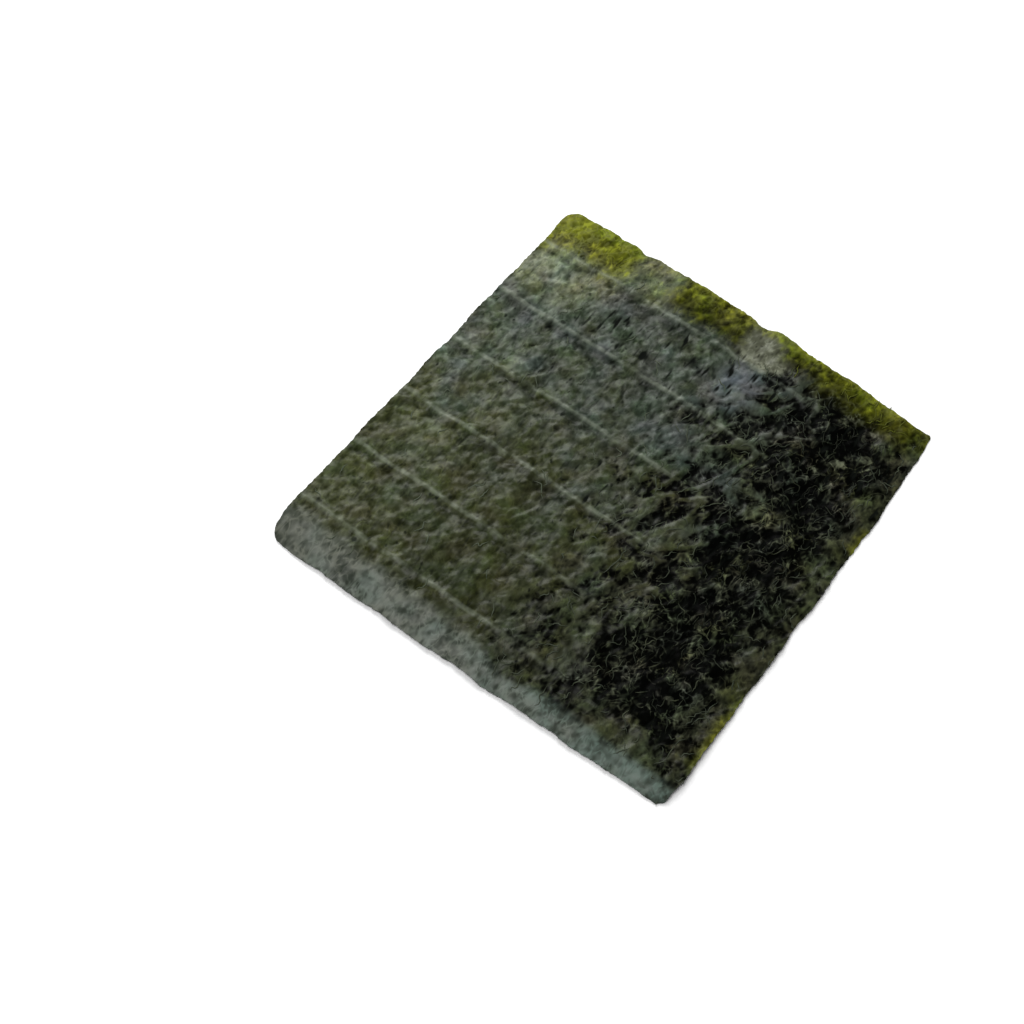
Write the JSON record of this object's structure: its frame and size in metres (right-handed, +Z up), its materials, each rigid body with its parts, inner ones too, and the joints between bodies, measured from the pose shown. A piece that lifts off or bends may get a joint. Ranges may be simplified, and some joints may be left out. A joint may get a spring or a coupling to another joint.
{
  "type": "nori sheet",
  "caption": "Thin crisp sheet of dried laver, lightly bowed and wrinkled, with raised mat lines, a rolled front edge and a thin uneven back edge.",
  "frame": {"origin": "on the surface that the sheet lies on, under the middle of its box", "axes": "+Z up, through the sheet; +X along the raised string lines, the short side; +Y from the rolled front edge to the thin back edge, the long side"},
  "size_m": [0.1916, 0.2112, 0.0082],
  "materials": {
    "nori": "dark green-black felted laver with a satin sheen, yellow-green where it is thin"
  },
  "bodies": {
    "root": {"nori_sheet": "nori"}
  },
  "joints": []
}
